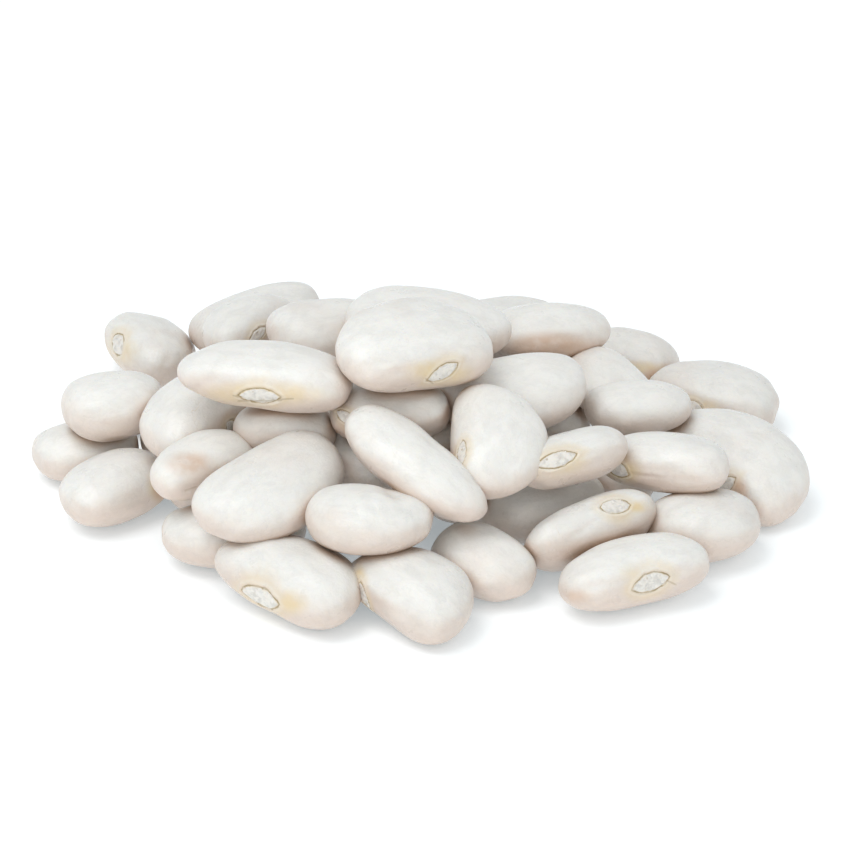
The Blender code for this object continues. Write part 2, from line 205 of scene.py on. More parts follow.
# Creases and whiskers: thin lines from one point of the picture to another, carved in and painted
# dark, partly as the skin's own marks and partly as painted shade in the fold.
Crease = namedtuple("Crease", "bean start_column start_row end_column end_row depth")
CREASES = (
    Crease("long_left", 238, 402, 281, 401, 0.10),
    Crease("long_left", 278, 400, 293, 399, 0.05),
    Crease("long_left", 233, 396, 241, 398, 0.05),
    Crease("left_near", 156, 478, 165, 495, 0.12),
    Crease("brown_spot", 185, 491, 197, 487, 0.10),
    Crease("front_right", 668, 581, 676, 585, 0.06),
    Crease("crown", 426, 379, 433, 384, 0.06),
)

# Soft dents and folds of the skin: the middle of each in the picture, its reach and its depth.
Dent = namedtuple("Dent", "bean column row lean length breadth depth")
DENTS = (
    Dent("notched", 395, 492, -55, 6.0, 3.2, 0.75),
    Dent("notched", 372, 503, -60, 5.5, 0.9, 0.14),
    Dent("notched", 356, 508, -75, 5.0, 0.8, 0.10),
    Dent("notched", 408, 510, -40, 4.5, 0.9, 0.10),
    Dent("crown", 395, 372, 8, 7.0, 1.8, 0.14),
    Dent("long_left", 330, 388, -12, 6.0, 1.6, 0.16),
    Dent("long_left", 205, 384, 25, 5.0, 1.4, 0.12),
    Dent("front_left", 318, 590, -20, 5.0, 1.6, 0.14),
    Dent("front_right", 600, 585, 10, 6.0, 1.4, 0.12),
    Dent("right_eye", 645, 476, -4, 6.0, 0.8, 0.14),
    Dent("right_end", 725, 440, -40, 8.0, 1.4, 0.12),
    Dent("broad_left", 255, 500, 35, 8.0, 1.5, 0.10),
    Dent("slanting", 420, 480, -48, 8.0, 1.3, 0.12),
    Dent("upright", 512, 450, 80, 7.0, 1.4, 0.12),
    Dent("back_right", 560, 338, -3, 9.0, 1.2, 0.16),
    Dent("left_upper", 110, 425, 5, 6.0, 1.4, 0.14),
    Dent("edge_up", 590, 525, 35, 7.0, 1.2, 0.12),
)


def directions(segments, rings, eye_crowding=0.0, middle_crowding=0.0):
    """Unit directions of a sphere with its poles on the long axis, crowded towards the eye."""
    steps = np.arange(segments) * (2.0 * math.pi / segments)
    around = steps + eye_crowding * np.sin(steps)
    steps = np.arange(1, rings) * (math.pi / rings)
    along = steps + 0.5 * middle_crowding * np.sin(2.0 * steps)
    along, around = (grid.ravel() for grid in np.meshgrid(along, around, indexing="ij"))
    across = np.sin(along)
    found = np.stack([np.cos(along), across * np.cos(around), across * np.sin(around)], axis=1)
    return np.concatenate([[(1.0, 0.0, 0.0)], found, [(-1.0, 0.0, 0.0)]])


def kidney(unit, bean):
    """Points of a bean's surface in its own frame: X its length, -Y its eye, Z its thickness."""
    across = np.hypot(unit[:, 1], unit[:, 2])
    swell = (np.abs(unit[:, 0]) ** FULLNESS + across**FULLNESS) ** (-1.0 / FULLNESS)
    x, y, z = (unit * swell[:, None]).T
    width = 1.0 + TAPER * x
    y = y * (1.0 - 0.5 * BACK_SWELL + BACK_SWELL * y) * width
    ys = bean.breadth * (0.5 * y - bean.bend * (x * x - BEND_CENTRE))
    return np.stack([0.5 * bean.length * x, ys, 0.5 * bean.thickness * z * width], axis=1)


def level(points, bean):
    """How far out each point is in the bean's own frame: 1 is its skin, and less is inside."""
    x = points[:, 0] / (0.5 * bean.length)
    width = 1.0 + TAPER * np.clip(x, -TAPER_END, TAPER_END)
    swollen = 2.0 * (points[:, 1] / bean.breadth + bean.bend * (x * x - BEND_CENTRE)) / width
    base = 1.0 - 0.5 * BACK_SWELL
    root = np.sqrt(np.maximum(base * base + 4.0 * BACK_SWELL * swollen, 0.0))
    y = (root - base) / (2.0 * BACK_SWELL)
    z = points[:, 2] / (0.5 * bean.thickness * width)
    return (np.abs(x) ** FULLNESS + np.hypot(y, z) ** FULLNESS) ** (1.0 / FULLNESS)


def stance(bean):
    """The turn of a bean: its heading on the table, then its nose up by pitch, then its roll."""
    turn = (
        Matrix.Rotation(math.radians(bean.heading), 3, "Z")
        @ Matrix.Rotation(math.radians(-bean.pitch), 3, "Y")
        @ Matrix.Rotation(math.radians(bean.roll), 3, "X")
    )
    return np.array(turn)


SIGHT_BACK = np.array([0.0, -math.cos(SIGHT_ELEVATION), math.sin(SIGHT_ELEVATION)])
SIGHT_UP = np.array([0.0, math.sin(SIGHT_ELEVATION), math.cos(SIGHT_ELEVATION)])
SIGHT_RIGHT = np.array([1.0, 0.0, 0.0])
SIGHT_EYE = SIGHT_TARGET + SIGHT_DISTANCE * SIGHT_BACK


def sight_line(column, row):
    """The eye's place, and the direction of the line through a point of the picture."""
    half = 0.5 * PICTURE_SIDE
    off = ((column - half) * SIGHT_RIGHT - (row - half) * SIGHT_UP) / PIXELS_PER_MM
    return SIGHT_EYE, SIGHT_TARGET + off - SIGHT_EYE


def in_picture(points):
    """Where points of the heap come in the picture: columns and rows."""
    away = points - SIGHT_EYE
    depth = -away @ SIGHT_BACK
    scale = PIXELS_PER_MM * SIGHT_DISTANCE / depth
    half = 0.5 * PICTURE_SIDE
    return half + scale * (away @ SIGHT_RIGHT), half - scale * (away @ SIGHT_UP)


def on_line(line, height):
    """The point of a sight line at this height over the table."""
    eye, way = line
    return eye + way * ((height - eye[2]) / way[2])


class Laid:
    """A bean where it lies, with points of its skin to measure by."""

    def __init__(self, bean):
        self.bean = bean
        self.turn = stance(bean)
        self.skin = kidney(directions(SAMPLE_SEGMENTS, SAMPLE_RINGS), bean) @ self.turn.T
        self.low = -self.skin[:, 2].min()
        self.reach = 0.5 * bean.length + REACH_SPARE
        self.middle = np.zeros(3)

    def depth_of(self, points):
        """How deep the deepest of these points lies in the bean."""
        own = (points - self.middle) @ self.turn
        far = np.maximum(level(own, self.bean), MIDDLE_LEVEL)
        return float(np.max(np.linalg.norm(own, axis=1) * (1.0 / far - 1.0)))

    def overlap(self, others):
        """The deepest overlap with the beans laid before."""
        deepest = APART
        for other in others:
            if np.linalg.norm(other.middle - self.middle) > self.reach + other.reach:
                continue
            into = other.depth_of(self.skin + self.middle)
            onto = self.depth_of(other.skin + other.middle)
            deepest = max(deepest, into, onto)
        return deepest


def first_free(laid, places, others):
    """Puts the bean at the lowest place above all those where it would be pressed too deep."""
    best = None
    least = math.inf
    for place in reversed(places):
        laid.middle = place
        overlap = laid.overlap(others)
        if overlap > PRESS and best is not None:
            break
        if overlap <= PRESS:
            best = place
        elif overlap < least:
            least = overlap
            tightest = place
    laid.middle = tightest if best is None else best


def drop(filler, others):
    """A hidden bean falls straight down, tipped the way that lets it lie lowest."""
    lowest = None
    for pitch in TIPS:
        for roll in TIPS:
            laid = Laid(filler._replace(pitch=pitch, roll=roll))
            heights = np.arange(laid.low, DROP_FROM, SLIDE_STEP)
            places = [np.array([filler.x, filler.y, height]) for height in heights]
            first_free(laid, places, others)
            if lowest is None or laid.middle[2] < lowest.middle[2] - SLIDE_STEP:
                lowest = laid
    return lowest


def lay(bean, others):
    """The bean where it comes to lie among those laid before."""
    if isinstance(bean, Filler):
        return drop(bean, others)
    laid = Laid(bean)
    line = sight_line(bean.column, bean.row)
    if bean.height is ON_TABLE:
        laid.middle = on_line(line, laid.low)
        return laid
    lowest = max(bean.height - SLIDE, laid.low)
    heights = np.arange(lowest, bean.height + SLIDE, SLIDE_STEP)
    first_free(laid, [on_line(line, height) for height in heights], others)
    return laid


def lay_heap():
    """All the beans where they lie, in the order in which they are laid."""
    heap = []
    for bean in BEANS:
        heap.append(lay(bean, heap))
    return heap


# How fine the beans are meshed: segments round, rings along, and how both crowd to the eye.
Mesh = namedtuple("Mesh", "segments rings eye_crowding middle_crowding")
EYED_MESH = Mesh(104, 128, 0.55, 0.35)
SEEN_MESH = Mesh(64, 88, 0.0, 0.0)
HIDDEN_MESH = Mesh(32, 40, 0.0, 0.0)

# What stands for a point that an eye, the sight or a crease doesn't reach.
FAR_OFF = 9.0
OFF_SIGHT = 1e4
LINE_REACH = 3.0

# The painted shade between beans and under them, by how closely the neighbours and the table stand:
# how far out of the skin they are felt, between which levels of a neighbour that shade eases off,
# and the table's reach and strength beside theirs.
CREVICE_SHADE_REACH = 2.5
CREVICE_SHADE_FULL = 0.55
CREVICE_SHADE_GONE = 1.35
TABLE_SHADE_REACH = 0.6
TABLE_SHADE_SHARE = 0.7

# How uneven the beans are: each one's form, its twist, its lumps and its finer ripples, and how far
# its patterns are moved, so that no two beans look alike.
UNEVEN = 0.008
TWIST = 0.02
LUMP = 0.07
LUMP_LENGTH = 4.5
RIPPLE = 0.035
RIPPLE_LENGTH = 2.2
PATTERN_SPREAD = 400.0

# The relief of an eye. Where its rim, its groove and its pale lip run, how wide each part is and how
# far out the relief goes are shares of the eye's half size; heights and depths are real.
RIM_AT = 1.18
GROOVE_AT = 0.97
LIP_AT = 1.22
SEAT_WIDTH = 2.1
RIM_WIDTH = 0.18
GROOVE_WIDTH = 0.08
PLUG_FLAT = 0.72
PLUG_EDGE = 0.95
EYE_REACH = 4.0
SEAT_DEPTH = 0.16
RIM_HEIGHT = 0.11
GROOVE_DEPTH = 0.16
PLUG_HEIGHT = 0.10
PLUG_CRUMBLE = 0.05
RAGGED = 0.06

# The half width of a crease, how a stain fades from its middle outwards, and how far round it goes.
CREASE_WIDTH = 0.35
STAIN_FULL = 0.15
STAIN_GONE = 1.25
STAIN_ROUND = -0.1

# How squarely a point has to face the sight to be the middle of an eye, and how far a flat-on lean
# may be moved along the sight.
FACING = 0.05
SLANT_ROOM = 0.15


def faces_of(segments, rings):
    """The faces of a sphere of these segments and rings: quads, and a fan at each pole."""
    first = 1
    last = 1 + segments * (rings - 1)
    quads = []
    fans = []
    for segment in range(segments):
        after = (segment + 1) % segments
        fans.append((0, first + segment, first + after))
        end = last - segments
        fans.append((last, end + after, end + segment))
        for ring in range(rings - 2):
            here = first + ring * segments
            there = here + segments
            quads.append((here + segment, there + segment, there + after, here + after))
    return np.array(quads), np.array(fans)


def normals_of(points, quads, fans):
    """The mean outward direction at each point."""
    corners = points[quads]
    flat = np.cross(corners[:, 2] - corners[:, 0], corners[:, 3] - corners[:, 1])
    found = np.zeros_like(points)
    for corner in range(4):
        np.add.at(found, quads[:, corner], flat)
    corners = points[fans]
    flat = np.cross(corners[:, 1] - corners[:, 0], corners[:, 2] - corners[:, 0])
    for corner in range(3):
        np.add.at(found, fans[:, corner], flat)
    return found / np.maximum(np.linalg.norm(found, axis=1), 1e-12)[:, None]


def waves(points, count, length, draw):
    """A smooth random field over the points: sines of about this wavelength, mean 0."""
    total = np.zeros(len(points))
    for _ in range(count):
        way = draw.normal(size=3)
        way *= 2.0 * math.pi / (np.linalg.norm(way) * length * draw.uniform(0.7, 1.4))
        total += np.sin(points @ way + draw.uniform(0.0, 2.0 * math.pi))
    return total / math.sqrt(count)


def smooth(low, high, values):
    """0 below low, 1 above high, and an even ease between."""
    share = np.clip((values - low) / (high - low), 0.0, 1.0)
    return share * share * (3.0 - 2.0 * share)


def eye_places(eye, points, normals):
    """How far along and across an eye or a dent each point is, in half its sizes."""
    columns, rows = in_picture(points)
    facing = normals @ SIGHT_BACK > FACING
    miss = np.hypot(columns - eye.column, rows - eye.row) + np.where(facing, 0.0, OFF_SIGHT)
    nearest = int(np.argmin(miss))
    middle = points[nearest]
    out = normals[nearest]
    lean = math.radians(eye.lean)
    wanted = math.cos(lean) * SIGHT_RIGHT + math.sin(lean) * SIGHT_UP
    # The way in the skin that shows at this lean: the wanted line moved along the sight.
    way = wanted - SIGHT_BACK * (wanted @ out) / (SIGHT_BACK @ out + SLANT_ROOM)
    way = way - out * (way @ out)
    way /= np.linalg.norm(way)
    side = np.cross(out, way)
    away = points - middle
    near = (normals @ out > 0.0) & (np.linalg.norm(away, axis=1) < 2.0 * eye.length)
    along = np.where(near, away @ way / (0.5 * eye.length), FAR_OFF)
    across = np.where(near, away @ side / (0.5 * eye.breadth), FAR_OFF)
    return along, across


def lens(along, across):
    """How far out from the middle of an eye: 1 is its rim, which comes to a point at both ends."""
    return 0.5 * (np.hypot(along, across) + np.abs(across) + along * along)


def eye_relief(along, across, points, draw):
    """A shallow seat, a raised rim, a groove and an uneven plug."""
    far = lens(along, across) + RAGGED * waves(points, 4, 1.6, draw)
    seat = -SEAT_DEPTH * np.exp(-((far / SEAT_WIDTH) ** 2))
    rim = RIM_HEIGHT * np.exp(-(((far - RIM_AT) / RIM_WIDTH) ** 2))
    groove = -GROOVE_DEPTH * np.exp(-(((far - GROOVE_AT) / GROOVE_WIDTH) ** 2))
    crust = PLUG_HEIGHT + PLUG_CRUMBLE * waves(points, 6, 0.9, draw)
    plug = crust * (1.0 - smooth(PLUG_FLAT, PLUG_EDGE, far))
    return np.where(far < EYE_REACH, seat + rim + groove + plug, 0.0)


def line_distance(crease, points, normals):
    """Each point's distance in the picture from a crease, in millimetres."""
    columns, rows = in_picture(points)
    start = np.array([crease.start_column, crease.start_row], float)
    way = np.array([crease.end_column, crease.end_row], float) - start
    at = np.stack([columns, rows], axis=1) - start
    share = np.clip(at @ way / (way @ way), 0.0, 1.0)
    off = np.linalg.norm(at - share[:, None] * way, axis=1) / PIXELS_PER_MM
    return np.where(normals @ SIGHT_BACK > 0.0, off, LINE_REACH)


def stain_masks(name, points, normals):
    """How strongly each point of a bean is stained: yellow, and brown."""
    masks = {"yellow": np.zeros(len(points)), "brown": np.zeros(len(points))}
    columns, rows = in_picture(points)
    for stain in STAINS:
        if stain.bean != name:
            continue
        off = np.hypot((columns - stain.column) / stain.wide, (rows - stain.row) / stain.high)
        mask = stain.strength * (1.0 - smooth(STAIN_FULL, STAIN_GONE, off))
        mask = np.where(normals @ SIGHT_BACK > STAIN_ROUND, mask, 0.0)
        masks[stain.kind] = np.maximum(masks[stain.kind], mask)
    return masks["yellow"], masks["brown"]


class Skin:
    """One bean's mesh and what its skin carries at each vertex."""

    def __init__(self, laid, seen, draw):
        bean = laid.bean
        eyes = [eye for eye in EYES if eye.bean == bean.name]
        fine = EYED_MESH if eyes else SEEN_MESH if seen else HIDDEN_MESH
        self.eyed = bool(eyes)
        unit = directions(*fine)
        self.quads, self.fans = faces_of(fine.segments, fine.rings)
        own = kidney(unit, bean)
        own = own * (1.0 + UNEVEN * waves(own, 4, 0.8 * bean.length, draw))[:, None]
        twist = waves(own[:, :1] * (1, 0, 0), 2, bean.length, draw)
        own[:, 2] += TWIST * bean.thickness * twist
        lumps = LUMP * waves(own * (0.5, 1.0, 1.0), 5, LUMP_LENGTH, draw)
        lumps += RIPPLE * waves(own * (0.35, 1.0, 1.0), 6, RIPPLE_LENGTH, draw)
        own += normals_of(own, self.quads, self.fans) * lumps[:, None]
        points = own @ laid.turn.T + laid.middle
        normals = normals_of(points, self.quads, self.fans)
        self.place = own + draw.uniform(-PATTERN_SPREAD, PATTERN_SPREAD, size=3)
        self.eye = np.full((len(points), 3), FAR_OFF)
        relief = np.zeros(len(points))
        for eye in eyes:
            along, across = eye_places(eye, points, normals)
            self.eye[:, 0] = along
            self.eye[:, 1] = across
            relief += eye_relief(along, across, points, draw)
        for dent in DENTS:
            if dent.bean == bean.name:
                along, across = eye_places(dent, points, normals)
                relief -= dent.depth * np.exp(-(along**2) - across**2)
        line = np.full(len(points), LINE_REACH)
        for crease in CREASES:
            if crease.bean == bean.name:
                off = line_distance(crease, points, normals)
                relief -= crease.depth * np.exp(-((off / CREASE_WIDTH) ** 2))
                line = np.minimum(line, off)
        yellow, brown = stain_masks(bean.name, points, normals)
        points = points + normals * relief[:, None]
        points[:, 2] += max(TABLE_GAP - points[:, 2].min(), 0.0)
        self.marks = np.stack([yellow, brown, line], axis=1)
        self.tint = np.empty((len(points), 3))
        self.tint[:, 0] = draw.uniform(0.0, 1.0)
        self.tint[:, 1] = draw.uniform(0.0, 1.0)
        # The third channel is painted light and shade: how far the skin faces up.
        self.tint[:, 2] = 0.5 + 0.5 * normals_of(points, self.quads, self.fans)[:, 2]
        self.points = points

    def crowd(self, laid, heap):
        """Painted shade from how closely the neighbours and the table stand over each point of the
        skin: 0 open, 1 pressed.
        """
        feelers = self.points + CREVICE_SHADE_REACH * normals_of(self.points, self.quads, self.fans)
        crevice_shade = np.zeros(len(feelers))
        for other in heap:
            apart = np.linalg.norm(other.middle - laid.middle)
            if other is laid or apart > laid.reach + other.reach + CREVICE_SHADE_REACH:
                continue
            far = level((feelers - other.middle) @ other.turn, other.bean)
            crevice_shade = np.maximum(crevice_shade, 1.0 - smooth(CREVICE_SHADE_FULL, CREVICE_SHADE_GONE, far))
        # Painted shade under the bean where it comes near the table.
        table = 1.0 - smooth(-CREVICE_SHADE_REACH, TABLE_SHADE_REACH * CREVICE_SHADE_REACH, feelers[:, 2])
        # The eye attribute's third channel carries this painted shade.
        self.eye[:, 2] = np.maximum(crevice_shade, TABLE_SHADE_SHARE * table)


def mesh_object(name, skins, shift):
    """One object of several beans, with their skins' values as attributes."""
    points = np.concatenate([skin.points for skin in skins])
    points = (points + shift) * MM
    starts = np.cumsum([0] + [len(skin.points) for skin in skins[:-1]])
    quads = np.concatenate([skin.quads + start for skin, start in zip(skins, starts)])
    fans = np.concatenate([skin.fans + start for skin, start in zip(skins, starts)])
    data = bpy.data.meshes.new(name)
    data.vertices.add(len(points))
    data.vertices.foreach_set("co", points.astype(np.float32).ravel())
    corners = np.concatenate([quads.ravel(), fans.ravel()])
    counts = np.concatenate([np.full(len(quads), 4), np.full(len(fans), 3)])
    data.loops.add(len(corners))
    data.loops.foreach_set("vertex_index", corners.astype(np.int32))
    data.polygons.add(len(counts))
    begins = np.concatenate([[0], np.cumsum(counts)[:-1]])
    data.polygons.foreach_set("loop_start", begins.astype(np.int32))
    data.update(calc_edges=True)
    data.validate()
    for attribute in ("place", "eye", "marks", "tint"):
        values = np.concatenate([getattr(skin, attribute) for skin in skins])
        layer = data.attributes.new(attribute, "FLOAT_VECTOR", "POINT")
        layer.data.foreach_set("vector", values.astype(np.float32).ravel())
    data.shade_smooth()
    obj = bpy.data.objects.new(name, data)
    bpy.context.scene.collection.objects.link(obj)
    return obj


class Tree:
    """Short calls to fill one node tree."""

    def __init__(self, tree):
        self.tree = tree

    def add(self, kind, **settings):
        node = self.tree.nodes.new(kind)
        for key, value in settings.items():
            setattr(node, key, value)
        return node

    def put(self, value, socket):
        """A socket is linked, and a constant goes on the socket itself."""
        if isinstance(value, bpy.types.NodeSocket):
            self.tree.links.new(value, socket)
        else:
            socket.default_value = value

    def maths(self, operation, first, second=0.0):
        node = self.add("ShaderNodeMath", operation=operation)
        self.put(first, node.inputs[0])
        self.put(second, node.inputs[1])
        return node.outputs[0]

    def ease(self, value, low, high, to_low=0.0, to_high=1.0):
        node = self.add("ShaderNodeMapRange", interpolation_type="SMOOTHSTEP")
        for socket, given in zip(node.inputs, (value, low, high, to_low, to_high)):
            self.put(given, socket)
        return node.outputs[0]

    def noise(self, vector, scale, detail, roughness=0.55, distortion=0.0):
        node = self.add("ShaderNodeTexNoise")
        self.put(vector, node.inputs["Vector"])
        node.inputs["Scale"].default_value = scale
        node.inputs["Detail"].default_value = detail
        node.inputs["Roughness"].default_value = roughness
        node.inputs["Distortion"].default_value = distortion
        return node.outputs["Fac"]

    def mix(self, share, first, second, blend="MIX"):
        node = self.add("ShaderNodeMix", data_type="RGBA", blend_type=blend)
        self.put(share, node.inputs[0])
        self.put(first, node.inputs[6])
        self.put(second, node.inputs[7])
        return node.outputs[2]

    def parts(self, vector):
        node = self.add("ShaderNodeSeparateXYZ")
        self.put(vector, node.inputs[0])
        return node.outputs

    def attribute(self, name):
        return self.add("ShaderNodeAttribute", attribute_name=name).outputs["Vector"]


def new_group(name, takes, gives):
    """A shader node group with these sockets: (name, type) pairs."""
    group = bpy.data.node_groups.new(name, "ShaderNodeTree")
    for socket, kind in takes:
        group.interface.new_socket(socket, in_out="INPUT", socket_type=kind)
    for socket, kind in gives:
        group.interface.new_socket(socket, in_out="OUTPUT", socket_type=kind)
    tree = Tree(group)
    start = tree.add("NodeGroupInput").outputs
    end = tree.add("NodeGroupOutput").inputs
    return group, tree, start, end


# The colours of the skin: lighter and cooler on top as painted light, darker and warmer on the
# flanks as painted shade, dark brown painted shade deep between beans and against the table, and its
# stains;
# then those of the eyes and the table, and the faint light that the table gives back.
LIT_TOP_WHITE = (0.86, 0.857, 0.825, 1.0)
HALF_LIT_AND_LIP_WHITE = (0.80, 0.745, 0.685, 1.0)
SHADED_FLANK_AND_BLUSH = (0.73, 0.615, 0.54, 1.0)
PAINTED_CREVICE_SHADE = (0.50, 0.36, 0.26, 1.0)
YELLOW = (0.75, 0.595, 0.34, 1.0)
BROWN = (0.62, 0.42, 0.29, 1.0)
PLUG = (0.80, 0.77, 0.72, 1.0)
RIM_LINE = (0.36, 0.27, 0.14, 1.0)
FLAKE_STAIN = (0.52, 0.45, 0.37, 1.0)
FLOOR_WHITE = (0.95, 0.96, 0.96, 1.0)
FLOOR_LIFT = (0.74, 0.90, 1.0, 1.0)
FLOOR_GLOW = 0.24

# The patterns of the skin: about how many of each to a millimetre, how they are drawn out along the
# bean, how dark the darkest of each makes it, its gloss, and how deep its bumps and its light go.
CLOUDS = 0.16
BLUSHES = 0.085
VEINS = 0.55
THREADS = 1.3
STREAKS = 0.40
BLOTCHES = 0.35
PORES = 2.6
DRAWN_OUT = (0.62, 1.0, 1.0)
TONE_SHADE = 0.955
VEIN_SHADE = 0.965
STREAK_SHADE = 0.945
GLOSSY = 0.27
DULLER = 0.37
PLUG_ROUGHNESS = 0.75
BUMP_HEIGHT = 0.16
SINK_IN = 0.9

# The crumbs in the eyes: their size and how it varies, how far they tip, how far apart and how far
# out they lie, how many there are to a square metre at most, and their mottles to a metre.
FLAKE_SIZE = 0.34
FLAKE_LEAST = (0.3, 0.3, 0.04)
FLAKE_MOST = (1.6, 0.8, 0.12)
FLAKE_TIP = 0.15
FLAKE_APART = 1.0
FLAKE_EDGE = 0.70
FLAKE_SEED = 11
MOST_FLAKES = 2.0e7
FLAKE_MOTTLES = 700.0


def skin_colour_group():
    """The pale skin: painted light makes it cool and light on top, painted shade makes it warmer and
    darker on the flanks and deep between beans; with faint clouds, blushes and veins.
    """
    group, tree, start, end = new_group(
        "bean skin colour",
        (
            ("Place", "NodeSocketVector"),
            ("Tint", "NodeSocketVector"),
            ("Crowd", "NodeSocketFloat"),
        ),
        (("Colour", "NodeSocketColor"),),
    )
    tone, warmth, up = tree.parts(start["Tint"])
    clouds = tree.noise(start["Place"], CLOUDS, 3.0)
    # Painted light and shade: the more a point faces up, the lighter and cooler it is painted.
    lit_share = tree.maths("ADD", up, tree.maths("MULTIPLY", clouds, 0.30))
    # Painted shade: neighbours and the table close by pull the colour towards the flanks'.
    lit_share = tree.maths("SUBTRACT", lit_share, tree.maths("MULTIPLY", start["Crowd"], 0.35))
    colour = tree.mix(tree.ease(lit_share, 0.38, 1.02), SHADED_FLANK_AND_BLUSH, HALF_LIT_AND_LIP_WHITE)
    colour = tree.mix(tree.ease(lit_share, 0.72, 1.10), colour, LIT_TOP_WHITE)
    # Painted shade, dark brown, deep between beans and against the table.
    colour = tree.mix(tree.ease(start["Crowd"], 0.33, 1.0, 0.0, 0.9), colour, PAINTED_CREVICE_SHADE)
    blush = tree.ease(tree.noise(start["Place"], BLUSHES, 2.0), 0.50, 0.78)
    # Blushes of the skin's own tone take the flank colour too.
    share = tree.maths("MULTIPLY", blush, tree.ease(warmth, 0.2, 1.0, 0.1, 0.55))
    colour = tree.mix(share, colour, SHADED_FLANK_AND_BLUSH)
    drawn = tree.add("ShaderNodeVectorMath", operation="MULTIPLY")
    tree.put(start["Place"], drawn.inputs[0])
    tree.put(DRAWN_OUT, drawn.inputs[1])
    fine = tree.noise(drawn.outputs[0], VEINS, 4.0, 0.6, 0.5)
    veins = tree.ease(tree.maths("ABSOLUTE", tree.maths("SUBTRACT", fine, 0.5)), 0.0, 0.035)
    stretch = tree.noise(drawn.outputs[0], THREADS, 3.0, 0.6, 0.8)
    threads = tree.ease(tree.maths("ABSOLUTE", tree.maths("SUBTRACT", stretch, 0.5)), 0.0, 0.05)
    veins = tree.maths("MULTIPLY", veins, tree.ease(threads, 0.0, 1.0, 0.5, 1.0))
    shade = tree.ease(tone, 0.0, 1.0, TONE_SHADE, 1.0)
    shade = tree.maths("MULTIPLY", shade, tree.ease(veins, 0.0, 1.0, VEIN_SHADE, 1.0))
    streaks = tree.noise(drawn.outputs[0], STREAKS, 4.0, 0.6, 0.4)
    shade = tree.maths("MULTIPLY", shade, tree.ease(streaks, 0.36, 0.58, STREAK_SHADE, 1.0))
    colour = tree.mix(1.0, colour, shade, "MULTIPLY")
    tree.put(colour, end["Colour"])
    return group


def eye_mask_group():
    """Masks of the eye: its plug, the dark line round it, its lip and the halo outside."""
    group, tree, start, end = new_group(
        "bean eye masks",
        (("Place", "NodeSocketVector"), ("Eye", "NodeSocketVector")),
        [(mask, "NodeSocketFloat") for mask in ("Plug", "Line", "Lip", "Halo")],
    )
    along, across, _ = tree.parts(start["Eye"])
    squared = tree.maths("MULTIPLY", along, along)
    round_off = tree.maths("ADD", squared, tree.maths("MULTIPLY", across, across))
    pointed = tree.maths("ADD", squared, tree.maths("ABSOLUTE", across))
    far = tree.maths("ADD", tree.maths("SQRT", round_off), pointed)
    far = tree.maths("MULTIPLY", far, 0.5)
    ragged = tree.maths("SUBTRACT", tree.noise(start["Place"], 0.9, 4.0), 0.5)
    far = tree.maths("ADD", far, tree.maths("MULTIPLY", ragged, 0.35))
    tree.put(tree.ease(far, 0.80, 0.92, 1.0, 0.0), end["Plug"])
    off = tree.maths("ABSOLUTE", tree.maths("SUBTRACT", far, GROOVE_AT))
    patchy = tree.ease(tree.noise(start["Place"], 0.45, 2.0), 0.34, 0.56, 0.35, 1.0)
    line = tree.maths("MULTIPLY", tree.ease(off, 0.02, 0.10, 1.0, 0.0), patchy)
    tree.put(line, end["Line"])
    off = tree.maths("ABSOLUTE", tree.maths("SUBTRACT", far, LIP_AT))
    tree.put(tree.ease(off, 0.05, 0.30, 1.0, 0.0), end["Lip"])
    tree.put(tree.ease(far, 1.2, 2.6, 1.0, 0.0), end["Halo"])
    return group


